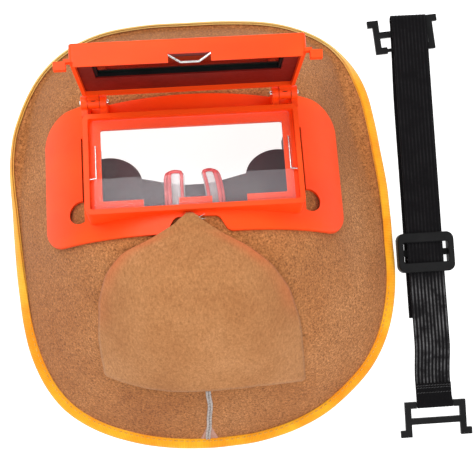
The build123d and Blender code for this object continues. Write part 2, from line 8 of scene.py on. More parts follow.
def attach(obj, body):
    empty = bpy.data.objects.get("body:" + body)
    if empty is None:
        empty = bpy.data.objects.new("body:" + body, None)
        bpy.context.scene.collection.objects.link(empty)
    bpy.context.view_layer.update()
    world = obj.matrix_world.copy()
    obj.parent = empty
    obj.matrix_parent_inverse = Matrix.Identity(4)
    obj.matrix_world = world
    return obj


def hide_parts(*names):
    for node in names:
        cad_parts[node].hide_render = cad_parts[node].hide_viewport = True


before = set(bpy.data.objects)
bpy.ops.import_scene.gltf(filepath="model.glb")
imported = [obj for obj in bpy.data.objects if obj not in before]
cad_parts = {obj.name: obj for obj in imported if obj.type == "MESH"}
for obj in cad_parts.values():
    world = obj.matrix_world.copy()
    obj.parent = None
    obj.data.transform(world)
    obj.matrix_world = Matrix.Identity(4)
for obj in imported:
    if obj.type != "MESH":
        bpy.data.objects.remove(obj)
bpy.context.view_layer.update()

MM = 0.001
scene = bpy.context.scene

# ---- sizes the soft pieces share with the CAD frame, in millimetres ---------------------
RIM_A, RIM_B, RIM_LEAN = 117.0, 132.6, 5.0
RIM_POWERS_TOP, RIM_POWERS_CHIN = (3.2, 3.2), (3.3, 2.13)
INSET = 4.0
LEATHER_T = 2.0
DOME_TOP, DOME_CHIN = 100.0, 90.0
WINDOW_Y, WINDOW_Z, TILT = 35.5, 80.0, radians(11.4)
PLATE_R, PLATE_T, PLATE_HALF, BOX_RISE = 108.0, 2.5, 86.5, 5.0
STRAP_X, STRAP_W, STRAP_TOP = 141.0, 22.0, 129.0
CLIP_A_Y, SLIDER_Y = -114.8, -20.9
SEAM_X = 1.6
SKIN_GAP = 0.25
STITCH_ARCH, STITCH_SUNK = 1.2, 0.5     # how far a stitch bows out and sinks in, in its radii
REFLECTION_VEIL_LINE = 0.0270                       # below this height up the mask the clear plate carries a painted reflection veil, metres
WHITE = (1, 1, 1, 1)


# ---- material helpers -------------------------------------------------------------------
def srgb(r, g, b):
    """A colour given as 0-255 sRGB, as the linear colour that shaders take."""
    return tuple(((c / 255 + 0.055) / 1.055) ** 2.4 if c > 10 else c / 255 / 12.92 for c in (r, g, b)) + (1,)


class Look:
    """A node material that is built up in few calls."""

    def __init__(self, name, roughness=0.5, **sockets):
        self.mat = bpy.data.materials.new(name)
        self.mat.use_nodes = True
        self.tree = self.mat.node_tree
        self.shader = self.tree.nodes["Principled BSDF"]
        self.shader.inputs["Roughness"].default_value = roughness
        for key, value in sockets.items():
            self.shader.inputs[key.replace("_", " ")].default_value = value
        self.place = self.add("ShaderNodeTexCoord").outputs["Object"]
        self.height = None

    def add(self, kind, **fields):
        node = self.tree.nodes.new(kind)
        for key, value in fields.items():
            setattr(node, key, value)
        return node

    def link(self, a, b):
        self.tree.links.new(a, b)

    def stretched(self, scale):
        node = self.add("ShaderNodeMapping")
        node.inputs["Scale"].default_value = scale
        self.link(self.place, node.inputs["Vector"])
        return node.outputs["Vector"]

    def noise(self, scale, detail=4.0, rough=0.6, vector=None):
        node = self.add("ShaderNodeTexNoise")
        node.inputs["Scale"].default_value = scale
        node.inputs["Detail"].default_value = detail
        node.inputs["Roughness"].default_value = rough
        self.link(vector or self.place, node.inputs["Vector"])
        return node.outputs["Fac"]

    def ramp(self, value, *stops):
        node = self.add("ShaderNodeValToRGB")
        ramp = node.color_ramp
        while len(ramp.elements) < len(stops):
            ramp.elements.new(0.5)
        for element, (position, colour) in zip(ramp.elements, stops):
            element.position = position
            element.color = colour
        self.link(value, node.inputs["Fac"])
        return node.outputs["Color"]

    def mix(self, a, b, factor, kind="MIX"):
        node = self.add("ShaderNodeMix", data_type="RGBA", blend_type=kind)
        for value, socket in ((factor, node.inputs[0]), (a, node.inputs[6]), (b, node.inputs[7])):
            if isinstance(value, bpy.types.NodeSocket):
                self.link(value, socket)
            else:
                socket.default_value = value
        return node.outputs[2]

    def maths(self, kind, a, b=0.0):
        node = self.add("ShaderNodeMath", operation=kind)
        for value, socket in zip((a, b), node.inputs):
            if isinstance(value, bpy.types.NodeSocket):
                self.link(value, socket)
            else:
                socket.default_value = value
        return node.outputs[0]

    def attribute(self, name):
        return self.add("ShaderNodeAttribute", attribute_name=name).outputs["Fac"]

    def colour(self, value):
        self.link(value, self.shader.inputs["Base Color"])
        return self

    def rough(self, value, low, high):
        node = self.add("ShaderNodeMapRange")
        node.inputs["To Min"].default_value = low
        node.inputs["To Max"].default_value = high
        self.link(value, node.inputs["Value"])
        self.link(node.outputs["Result"], self.shader.inputs["Roughness"])
        return self

    def bump(self, value, depth, strength=1.0):
        node = self.add("ShaderNodeBump")
        node.inputs["Distance"].default_value = depth
        node.inputs["Strength"].default_value = strength
        self.link(value, node.inputs["Height"])
        if self.height is not None:
            self.link(self.height, node.inputs["Normal"])
        self.height = node.outputs["Normal"]
        self.link(self.height, self.shader.inputs["Normal"])
        return self


# ---- materials --------------------------------------------------------------------------
def suede():
    """Split leather, rough side out: even tan with fine dark flecks and a short nap."""
    look = Look("suede", 0.95, Sheen_Weight=0.12, Sheen_Roughness=0.5, Specular_IOR_Level=0.12)
    broad = look.noise(17, 4, 0.6)
    tone = look.ramp(broad, (0.30, srgb(170, 106, 57)), (0.52, srgb(185, 122, 71)), (0.74, srgb(200, 139, 88)))
    fleck = look.noise(820, 7, 0.9)
    spots = look.ramp(fleck, (0.40, (0, 0, 0, 1)), (0.52, WHITE))
    dark = look.mix(srgb(122, 74, 36), tone, spots)
    grain = look.noise(760, 5, 0.85)
    light = look.ramp(grain, (0.38, (0.50, 0.44, 0.38, 1)), (0.62, (1.32, 1.32, 1.32, 1)))
    look.colour(look.mix(dark, light, 0.85, "MULTIPLY"))
    look.bump(grain, 0.0005, 0.55)
    look.bump(fleck, 0.0008, 0.5)
    look.bump(broad, 0.0012, 0.3)
    return look.mat


def flap_leather():
    """The flap is a finer split with a brushed nap, painted redder along its arch with the orange frame's
    reflected light.
    """
    look = Look("flap_suede", 0.95, Sheen_Weight=0.08, Sheen_Roughness=0.5, Specular_IOR_Level=0.1)
    broad = look.noise(20, 4, 0.6)
    tone = look.ramp(broad, (0.30, srgb(166, 110, 66)), (0.52, srgb(180, 125, 79)), (0.76, srgb(192, 138, 92)))
    nap = look.noise(820, 6, 0.85, look.stretched((1.0, 0.6, 1.0)))
    soft = look.ramp(nap, (0.36, (0.54, 0.50, 0.46, 1)), (0.64, (1.20, 1.20, 1.20, 1)))
    base = look.mix(tone, soft, 0.75, "MULTIPLY")
    fleck = look.ramp(look.noise(430, 7, 0.85), (0.36, (0.72, 0.66, 0.6, 1)), (0.46, WHITE))
    base = look.mix(base, fleck, 0.6, "MULTIPLY")
    # painted reflection: the orange frame's red light on the flap's upper edges
    look.colour(look.mix(base, srgb(196, 98, 58), look.attribute("painted_orange_glow")))
    look.bump(nap, 0.0006, 0.5)
    look.bump(broad, 0.0010, 0.3)
    return look.mat


def leather_edge():
    """The cut edge of the leather: pale and fibrous."""
    look = Look("leather_edge", 0.95, Specular_IOR_Level=0.1)
    fibres = look.noise(900, 4, 0.7, look.stretched((1, 1, 4)))
    look.colour(look.ramp(fibres, (0.35, srgb(150, 98, 58)), (0.6, srgb(205, 158, 112))))
    look.bump(fibres, 0.0004, 0.6)
    return look.mat


def tape():
    """Woven binding tape, orange-yellow, with fine cross ribs."""
    look = Look("binding_tape", 0.85, Sheen_Weight=0.25, Specular_IOR_Level=0.2)
    uv = look.add("ShaderNodeUVMap", uv_map="along").outputs["UV"]
    weave = look.add("ShaderNodeTexWave", wave_type="BANDS", bands_direction="X")
    weave.inputs["Scale"].default_value = 0.32
    weave.inputs["Distortion"].default_value = 0.6
    look.link(uv, weave.inputs["Vector"])
    cross = look.add("ShaderNodeTexWave", wave_type="BANDS", bands_direction="Y")
    cross.inputs["Scale"].default_value = 0.45
    look.link(uv, cross.inputs["Vector"])
    cloth = look.maths("MULTIPLY", weave.outputs["Fac"], cross.outputs["Fac"])
    tone = look.ramp(look.noise(45, 4), (0.35, srgb(252, 156, 10)), (0.65, srgb(255, 190, 36)))
    threads = look.ramp(cloth, (0.0, (0.82, 0.76, 0.7, 1)), (0.5, (1.12, 1.12, 1.12, 1)))
    woven = look.mix(tone, threads, 0.8, "MULTIPLY")
    # painted light: paler yellow at the brow and along the left side, where the lamps fall
    look.colour(look.mix(woven, srgb(247, 214, 132), look.attribute("pale")))
    look.bump(cloth, 0.0004, 0.7)
    look.bump(look.noise(300, 3), 0.0003, 0.4)
    return look.mat


def thread(name, light, dark):
    """Twisted sewing thread."""
    look = Look(name, 0.7, Sheen_Weight=0.2)
    twist = look.noise(2200, 2, 0.5, look.stretched((1, 0.4, 1)))
    look.colour(look.ramp(twist, (0.35, dark), (0.65, light)))
    look.bump(twist, 0.0002, 0.6)
    return look.mat


def orange_plastic():
    """Injection-moulded orange plastic: slightly waxy, faint flow marks and handling wear."""
    look = Look("orange_plastic", 0.42, Specular_IOR_Level=0.22)
    flow = look.noise(16, 3, 0.5, look.stretched((1, 2.2, 1)))
    tone = look.ramp(flow, (0.3, (0.92, 0.055, 0.002, 1)), (0.7, (1.0, 0.078, 0.004, 1)))
    scuff = look.noise(240, 6, 0.7)
    marks = look.ramp(scuff, (0.60, WHITE), (0.76, (1.0, 1.25, 1.6, 1)))
    look.colour(look.mix(tone, marks, 0.7, "MULTIPLY"))
    look.rough(scuff, 0.34, 0.52)
    look.bump(look.noise(900, 2, 0.5), 0.00008, 0.5)
    look.bump(flow, 0.0006, 0.25)
    return look.mat


def orange_plastic_painted_shade():
    """The snap-in frame: the orange plastic painted into a deep red, as shade inside the cover."""
    look = Look("orange_plastic_painted_shade", 0.5, Specular_IOR_Level=0.2)
    flow = look.noise(30, 3)
    # painted shade: deep red standing in for the orange plastic in the cover's shadow
    look.colour(look.ramp(flow, (0.3, srgb(96, 14, 8)), (0.7, srgb(120, 20, 12))))
    look.rough(look.noise(300, 3), 0.4, 0.6)
    look.bump(look.noise(900, 2, 0.5), 0.00008, 0.5)
    return look.mat


def black_plastic(name, roughness, light):
    """Moulded black plastic with a fine grain; light is its darkest sRGB level."""
    look = Look(name, roughness, Specular_IOR_Level=0.12)
    grain = look.noise(1400, 3, 0.55)
    look.colour(look.ramp(look.noise(60, 4), (0.3, srgb(light, light, light + 1)),
                          (0.7, srgb(light + 12, light + 12, light + 13))))
    look.rough(grain, roughness - 0.08, roughness + 0.12)
    look.bump(grain, 0.0001, 0.6)
    return look.mat


def seal_rubber():
    """Soft black rubber, painted faintly red where the orange plastic's light falls on it, and painted greyer
    lower down for the clear plate's reflection over it.
    """
    look = Look("black_rubber", 0.62, Specular_IOR_Level=0.3)
    cloud = look.noise(45, 4)
    dark = look.ramp(cloud, (0.3, srgb(44, 10, 16)), (0.7, srgb(62, 18, 24)))
    apart = look.add("ShaderNodeSeparateXYZ")
    look.link(look.place, apart.inputs[0])
    # painted reflection: the rubber turns grey below 30 mm up the mask
    lower_reflection_ramp = look.maths("MULTIPLY", look.maths("SUBTRACT", 0.030, apart.outputs["Y"]), 38.0)
    lower_reflection = look.ramp(lower_reflection_ramp, (0.0, (0, 0, 0, 1)), (1.0, (0.8, 0.8, 0.8, 1)))
    look.colour(look.mix(dark, srgb(74, 70, 80), lower_reflection))
    look.bump(look.noise(900, 3), 0.0002, 0.5)
    return look.mat


def elastic():
    """Black ribbed elastic: the cords' crowns are worn paler, with fine cross threads and some lint."""
    look = Look("ribbed_elastic", 0.85, Sheen_Weight=0.04, Sheen_Roughness=0.35, Specular_IOR_Level=0.08)
    uv = look.add("ShaderNodeUVMap", uv_map="along").outputs["UV"]
    knit = look.add("ShaderNodeTexWave", wave_type="BANDS", bands_direction="X")
    knit.inputs["Scale"].default_value = 0.40
    knit.inputs["Distortion"].default_value = 1.2
    look.link(uv, knit.inputs["Vector"])
    crown = look.attribute("crown")
    patchy = look.ramp(look.noise(95, 4, 0.7), (0.38, (0.12, 0.12, 0.12, 1)), (0.62, WHITE))
    worn = look.mix((0, 0, 0, 1), patchy, crown)
    cloth = look.mix(srgb(14, 13, 15), srgb(104, 104, 105), worn)
    threads = look.ramp(knit.outputs["Fac"], (0.0, (0.7, 0.7, 0.7, 1)), (0.8, (1.15, 1.15, 1.15, 1)))
    cloth = look.mix(cloth, threads, 0.7, "MULTIPLY")
    lint = look.ramp(look.noise(420, 7, 0.8), (0.72, (0, 0, 0, 1)), (0.80, WHITE))
    look.colour(look.mix(cloth, srgb(96, 96, 98), look.mix((0, 0, 0, 1), lint, 0.6)))
    look.bump(knit.outputs["Fac"], 0.0002, 0.6)
    look.bump(look.noise(1500, 3, 0.6), 0.0002, 0.4)
    return look.mat


def steel():
    """Bright drawn wire with fine lengthways scratches."""
    look = Look("bright_steel", 0.22, Metallic=1.0)
    drawn = look.noise(900, 4, 0.6, look.stretched((0.15, 1, 1)))
    look.colour(look.ramp(drawn, (0.3, srgb(178, 178, 176)), (0.7, srgb(226, 226, 224))))
    look.rough(drawn, 0.14, 0.34)
    look.bump(drawn, 0.00005, 0.5)
    return look.mat


def clear_plate(name, tint, gloss, reflection_veil=0.0):
    """Clear polycarbonate: see-through, with faint smears and sharp reflections."""
    look = Look(name, 0.03, Specular_IOR_Level=0.5)
    smear = look.noise(35, 5, 0.6)
    look.colour(look.ramp(smear, (0.3, tint), (0.7, WHITE)))
    look.rough(look.noise(160, 3), 0.02, 0.09)
    see = look.add("ShaderNodeBsdfTransparent")
    see.inputs["Color"].default_value = (0.995, 0.995, 0.995, 1)
    # a reflection that grows towards grazing views, alike on both faces of the plate
    grazing = look.maths("POWER", look.add("ShaderNodeLayerWeight").outputs["Facing"], 5.0)
    mirror = look.maths("ADD", look.maths("MULTIPLY", grazing, 0.96), 0.04)
    amount = look.maths("ADD", look.maths("MULTIPLY", mirror, gloss), look.maths("MULTIPLY", smear, 0.012))
    # painted reflection: a stronger, whiter reflection veil on the plate below the veil line
    if reflection_veil:
        apart = look.add("ShaderNodeSeparateXYZ")
        look.link(look.place, apart.inputs[0])
        below = look.maths("LESS_THAN", apart.outputs["Y"], REFLECTION_VEIL_LINE)
        amount = look.maths("ADD", amount, look.maths("MULTIPLY", below, reflection_veil))
    both = look.add("ShaderNodeMixShader")
    look.link(amount, both.inputs[0])
    look.link(see.outputs[0], both.inputs[1])
    look.link(look.shader.outputs[0], both.inputs[2])
    look.link(both.outputs[0], look.tree.nodes["Material Output"].inputs["Surface"])
    return look.mat


def pad_plastic():
    """Soft clear nose pads with a milky body."""
    look = Look("pad_clear", 0.2, Alpha=0.42, Specular_IOR_Level=0.7, Coat_Weight=0.4)
    cloud = look.noise(120, 3)
    look.colour(look.ramp(cloud, (0.3, srgb(196, 186, 186)), (0.7, srgb(232, 226, 226))))
    look.bump(cloud, 0.0003, 0.3)
    return look.mat


def red_edge():
    """Red moulded rib of the nose pads."""
    look = Look("pad_red_edge", 0.3, Specular_IOR_Level=0.6)
    look.colour(look.ramp(look.noise(150, 3), (0.3, srgb(196, 32, 38)), (0.7, srgb(236, 84, 84))))
    look.bump(look.noise(500, 2), 0.0001, 0.5)
    return look.mat


def dark_glass():
    """The filter's window: near-black with a green cast."""
    look = Look("dark_filter", 0.06, Specular_IOR_Level=0.7, Coat_Weight=0.5, Coat_Roughness=0.04)
    look.colour(look.ramp(look.noise(20, 3), (0.3, srgb(4, 12, 10)), (0.7, srgb(12, 28, 24))))
    look.rough(look.noise(200, 4), 0.03, 0.12)
    return look.mat


def solar_cells():
    """A thin-film solar strip: dark cells with fine bright lines between them."""
    look = Look("solar_strip", 0.15, Specular_IOR_Level=0.6, Coat_Weight=0.4)
    wave = look.add("ShaderNodeTexWave", wave_type="BANDS", bands_direction="X")
    wave.inputs["Scale"].default_value = 26.0
    look.link(look.place, wave.inputs["Vector"])
    cells = look.ramp(wave.outputs["Fac"], (0.04, srgb(120, 116, 130)), (0.10, srgb(22, 14, 36)))
    look.colour(look.mix(cells, srgb(40, 22, 52), look.noise(80, 2)))
    return look.mat


def pale_floor():
    """The bright white ground that the mask lies on."""
    look = Look("pale_floor", 0.9, Specular_IOR_Level=0.1)
    look.colour(look.ramp(look.noise(9, 3), (0.3, (0.50, 0.50, 0.50, 1)), (0.7, (0.53, 0.53, 0.53, 1))))
    look.shader.inputs["Emission Color"].default_value = WHITE
    look.shader.inputs["Emission Strength"].default_value = 0.92
    return look.mat


LEATHER = suede()
FLAP = flap_leather()
EDGE = leather_edge()
TAPE = tape()
PALE_THREAD = thread("pale_thread", srgb(196, 186, 180), srgb(132, 120, 114))
GOLD_THREAD = thread("gold_thread", srgb(240, 176, 60), srgb(196, 128, 24))
GREY_THREAD = thread("grey_thread", srgb(150, 140, 138), srgb(96, 84, 80))
FRAY = thread("leather_fray", srgb(206, 164, 118), srgb(150, 104, 62))
GUSSET = thread("gusset_leather", srgb(196, 146, 128), srgb(160, 108, 88))
BLACK_THREAD = thread("black_thread", srgb(52, 52, 54), srgb(14, 14, 15))
ORANGE = orange_plastic()
ORANGE_PAINTED_SHADE = orange_plastic_painted_shade()
BLACK = black_plastic("black_plastic", 0.5, 10)
HOUSING = black_plastic("black_housing", 0.55, 8)
RUBBER = seal_rubber()
ELASTIC = elastic()
STEEL = steel()
CLEAR = clear_plate("clear_plate", srgb(226, 222, 232), 0.4, 0.06)
COVER_CLEAR = clear_plate("cover_clear_plate", srgb(228, 230, 232), 1.0)
PAD = pad_plastic()
PAD_EDGE = red_edge()
DARK = dark_glass()
SOLAR = solar_cells()

CAD_LOOKS = {
    ORANGE: ("base_frame", "cover_frame"),
    ORANGE_PAINTED_SHADE: ("cover_retainer",),
    BLACK: ("slider", "clip_a", "clip_b"),
    HOUSING: ("rear_clamp", "filter_housing"),
    RUBBER: ("face_seal",),
    CLEAR: ("inner_lens",),
    COVER_CLEAR: ("outer_lens",),
    STEEL: ("lens_spring_left", "lens_spring_right", "hinge_pin_left", "hinge_pin_right", "cover_wire"),
    DARK: ("filter_glass",),
    SOLAR: ("solar_strip",),
}
for material, names in CAD_LOOKS.items():
    for name in names:
        for material_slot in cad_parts[name].material_slots:
            material_slot.material = material


# ---- the mask's surface, as in the CAD frame --------------------------------------------
def smooth(t):
    t = min(1.0, max(0.0, t))
    return t * t * (3 - 2 * t)


def rim_powers(y):
    return RIM_POWERS_TOP if y > 0 else RIM_POWERS_CHIN


def rim_half(y, inset=INSET):
    up, across = rim_powers(y)
    return (RIM_A - inset) * max(0.0, 1 - (abs(y) / (RIM_B - inset)) ** up) ** (1 / across)


def rim_lean(y):
    """How far the soft rim lies to the right of the goggles at height y."""
    temple = 2.6 * exp(-((y - 54) / 30) ** 2)
    cheek = 1.1 * exp(-((y + 38) / 22) ** 2)
    jaw = 3.6 * exp(-((y + 108) / 22) ** 2)
    return RIM_LEAN - temple + cheek - jaw


def plate_back(x, y):
    """Height of the surface that the leather follows behind the goggles' plate."""
    r = PLATE_R - PLATE_T - SKIN_GAP
    edge = min(abs(x), PLATE_HALF)
    root = sqrt(r * r - edge * edge)
    beyond = abs(x) - edge
    sag = r - root + beyond * edge / root - 0.0155 * beyond * beyond
    drop = BOX_RISE + PLATE_T + SKIN_GAP + sag
    return WINDOW_Z - (y - WINDOW_Y) * sin(TILT) / cos(TILT) - drop / cos(TILT)


def skin(x, y):
    """Outer surface of the leather, in millimetres."""
    half = max(rim_half(y), 1.0)
    flat = x
    for _ in range(6):
        flat = x - rim_lean(y) * min(1.0, (flat / half) ** 2)
    power_up, power_across = rim_powers(y)
    across, up = abs(flat / (RIM_A - INSET)) ** power_across, abs(y / (RIM_B - INSET)) ** power_up
    share = across / (across + up + 1e-9)
    rho = (across + up) ** (share / power_across + (1 - share) / power_up)
    chin = smooth((20 - y) / 60)
    rise = DOME_TOP + (DOME_CHIN - DOME_TOP) * chin
    dome = rise * (1 - rho ** (2.0 - 0.4 * chin))
    hug = plate_back(x, y)
    soft = 2.5
    low = min(dome, hug)
    joined = low - soft * log(exp((low - dome) / soft) + exp((low - hug) / soft))
    return max(joined, 0.3 * RIM_A * (1 - rho))


def goggle_point(x, y, z):
    """A point in the goggles' own frame, as a row-frame position in millimetres."""
    return Vector((x, WINDOW_Y + y * cos(TILT) + z * sin(TILT), WINDOW_Z - y * sin(TILT) + z * cos(TILT)))


# ---- mesh helpers -----------------------------------------------------------------------
def object_from(name, bm, *materials, shade=True):
    mesh = bpy.data.meshes.new(name)
    bm.normal_update()
    bm.to_mesh(mesh)
    bm.free()
    for material in materials:
        mesh.materials.append(material)
    if shade:
        mesh.polygons.foreach_set("use_smooth", [True] * len(mesh.polygons))
    obj = bpy.data.objects.new(name, mesh)
    scene.collection.objects.link(obj)
    return obj


def swept(name, path, profile, closed, material):
    """A profile carried along a path of (point, side, up) frames, with lengthways UVs in millimetres."""
    bm = bmesh.new()
    uv = bm.loops.layers.uv.new("along")
    rows = []
    for point, side, top in path:
        rows.append([bm.verts.new((point + side * a + top * b) * MM) for a, b in profile])
    length = [0.0]
    for i in range(1, len(path)):
        length.append(length[-1] + (path[i][0] - path[i - 1][0]).length)
    length.append(length[-1] + (path[0][0] - path[-1][0]).length)
    across = [0.0]
    for i in range(1, len(profile) + 1):
        a, b = profile[i % len(profile)], profile[i - 1]
        across.append(across[-1] + hypot(a[0] - b[0], a[1] - b[1]))
    count = len(path) if closed else len(path) - 1
    for i in range(count):
        j = (i + 1) % len(path)
        for k in range(len(profile)):
            m = (k + 1) % len(profile)
            face = bm.faces.new((rows[i][k], rows[i][m], rows[j][m], rows[j][k]))
            corners = ((length[i], across[k]), (length[i], across[k + 1]),
                       (length[i + 1], across[k + 1]), (length[i + 1], across[k]))
            for loop, corner in zip(face.loops, corners):
                loop[uv].uv = corner
    if not closed:
        bm.faces.new(list(reversed(rows[0])))
        bm.faces.new(rows[-1])
    bmesh.ops.recalc_face_normals(bm, faces=bm.faces)
    return object_from(name, bm, material)


def frames_along(points, closed=False, normal=Vector((0, 0, 1))):
    """Turn a list of points into (point, side, up) frames; up leans to the given normal."""
    result = []
    n = len(points)
    for i, p in enumerate(points):
        a = points[(i - 1) % n] if closed or i else p
        b = points[(i + 1) % n] if closed or i < n - 1 else p
        along = (b - a).normalized()
        side = along.cross(normal).normalized()
        result.append((p, side, side.cross(along).normalized()))
    return result


def round_profile(width, height, power=2.0, count=16):
    """A closed superellipse section."""
    points = []
    for i in range(count):
        a = 2 * pi * i / count
        c, s = cos(a), sin(a)
        points.append((width / 2 * abs(c) ** (2 / power) * (1 if c >= 0 else -1),
                       height / 2 * abs(s) ** (2 / power) * (1 if s >= 0 else -1)))
    return points


def stitches(name, places, length, radius, material, body):
    """A row of short bent threads. Each place is (point, direction, normal) in millimetres."""
    bm = bmesh.new()
    for point, along, up in places:
        rings = []
        side = along.cross(up).normalized()
        for i in range(7):
            t = i / 6 * 2 - 1
            arch = radius * STITCH_ARCH * (1 - t * t) - radius * STITCH_SUNK
            centre = point + along * (t * length / 2) + up * arch
            size = radius * (1 - 0.5 * t ** 6)
            ring = [bm.verts.new((centre + (side * cos(a) + up * sin(a)) * size) * MM)
                    for a in (2 * pi * k / 6 for k in range(6))]
            rings.append(ring)
        for a, b in zip(rings, rings[1:]):
            for k in range(6):
                bm.faces.new((a[k], a[(k + 1) % 6], b[(k + 1) % 6], b[k]))
        bm.faces.new(list(reversed(rings[0])))
        bm.faces.new(rings[-1])
    bmesh.ops.recalc_face_normals(bm, faces=bm.faces)
    obj = object_from(name, bm, material)
    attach(obj, body)
    return obj


def wander(x, y, scale, seed):
    return noise.noise(Vector((x * scale, y * scale, seed)))


# ---- leather shell ----------------------------------------------------------------------
def hide(x, y):
    """The leather as it really lies: the frame's surface with soft hand-sized waves."""
    half_x = max(rim_half(y), 1.0)
    free = 1 - min(1.0, (abs(x) / 88) ** 6) * smooth((60 - abs(y - WINDOW_Y)) / 25)
    near_goggles = smooth((78 - abs(x)) / 14) * smooth((52 - abs(y - WINDOW_Y)) / 14)
    edge = smooth((half_x - abs(x - rim_lean(y))) / 22) * smooth((RIM_B - abs(y)) / 22)
    loose = edge * (1 - near_goggles) * free
    wave = 1.5 * wander(x, y, 0.017, 3.1) + 0.6 * wander(x, y, 0.05, 8.4)
    grain = 0.16 * wander(x, y, 0.28, 5.7)
    from_seam = abs(x - SEAM_X)
    ridge, furrow = 0.9 * exp(-((from_seam - 2) / 3.5) ** 2), 0.8 * exp(-((from_seam - 10) / 4) ** 2)
    crease = smooth((-74 - y) / 20) * (ridge - furrow)
    return skin(x, y) + wave * loose + grain * edge - 0.35 * loose + crease * smooth((RIM_B - 4 - abs(y)) / 8)


def rim_reach(c, s):
    """How far the unit rim lies from the middle along a direction."""
    up, across = rim_powers(s)
    low, high = 0.5, 1.5
    for _ in range(30):
        reach = (low + high) / 2
        if abs(c * reach) ** across + abs(s * reach) ** up > 1:
            high = reach
        else:
            low = reach
    return low


def make_shell():
    """A grid carried out to the rim by the superellipse, cut for the goggles and the nose."""
    rings, spokes = 74, 168
    bm = bmesh.new()
    rows = []
    for i in range(1, rings + 1):
        r = (i / rings) ** 0.92
        row = []
        for k in range(spokes):
            a = 2 * pi * k / spokes
            c, s = cos(a), sin(a)
            scale = 1 + (rim_reach(c, s) - 1) * r
            flat = (RIM_A - INSET + 1.5) * c * scale * r
            y = (RIM_B - INSET + 1.5) * s * scale * r
            half = max(rim_half(y, INSET - 1.5), 1.0)
            x = flat + rim_lean(y) * min(1.0, (flat / half) ** 2)
            z = hide(x, y) if i < rings else 0.0
            row.append(bm.verts.new((x * MM, y * MM, max(z, LEATHER_T) * MM)))
        rows.append(row)
    middle = bm.verts.new((0, 0, hide(0, 0) * MM))
    for k in range(spokes):
        bm.faces.new((middle, rows[0][k], rows[0][(k + 1) % spokes]))
        for a, b in zip(rows, rows[1:]):
            bm.faces.new((a[k], b[k], b[(k + 1) % spokes], a[(k + 1) % spokes]))
    cut(bm, ((-56, -25), (56, 29)))
    cut(bm, ((-15, -64), (15, -44)))
    obj = object_from("leather_shell_skin", bm, LEATHER, EDGE)
    thicken = obj.modifiers.new("thickness", "SOLIDIFY")
    thicken.thickness = LEATHER_T * MM
    thicken.offset = -1
    thicken.material_offset_rim = 1
    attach(obj, "mask")
    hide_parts("leather_shell")
    return obj


def cut(bm, corners):
    """Cut a rectangle of the goggles' frame out of a surface, with clean straight edges."""
    (x0, y0), (x1, y1) = corners
    along = Vector((0, cos(TILT), -sin(TILT)))
    for x in (x0, x1):
        bmesh.ops.bisect_plane(bm, geom=bm.verts[:] + bm.edges[:] + bm.faces[:],
                               plane_co=(x * MM, 0, 0), plane_no=(1, 0, 0))
    for y in (y0, y1):
        bmesh.ops.bisect_plane(bm, geom=bm.verts[:] + bm.edges[:] + bm.faces[:],
                               plane_co=goggle_point(0, y, 0) * MM, plane_no=along)
    inside = []
    for face in bm.faces:
        c = face.calc_center_median() / MM
        up = (c - goggle_point(0, 0, 0)).dot(along)
        if x0 < c.x < x1 and y0 < up < y1:
            inside.append(face)
    bmesh.ops.delete(bm, geom=inside, context="FACES")


shell = make_shell()


# ---- edge binding -----------------------------------------------------------------------
def rim_points(inset, count):
    """Evenly spaced points of the rim's outline."""
    raw = []
    for k in range(720):
        a = 2 * pi * k / 720
        c, s = cos(a), sin(a)
        power_up, power_across = rim_powers(s)
        x = (RIM_A - inset) * abs(c) ** (2 / power_across) * (1 if c >= 0 else -1)
        y = (RIM_B - inset) * abs(s) ** (2 / power_up) * (1 if s >= 0 else -1)
        raw.append(Vector((rim_lean(y) + x, y, 0)))
    length = [0.0]
    for i in range(720):
        length.append(length[-1] + (raw[(i + 1) % 720] - raw[i]).length)
    points, j = [], 0
    for k in range(count):
        want = length[-1] * k / count
        while length[j + 1] < want:
            j += 1
        t = (want - length[j]) / max(1e-9, length[j + 1] - length[j])
        points.append(raw[j % 720].lerp(raw[(j + 1) % 720], t))
    return points


BINDING_PATH = 2.9         # from the rim's outline in to the tape's middle line
STITCH_INSET, STITCH_TOP = 1.9, 3.42


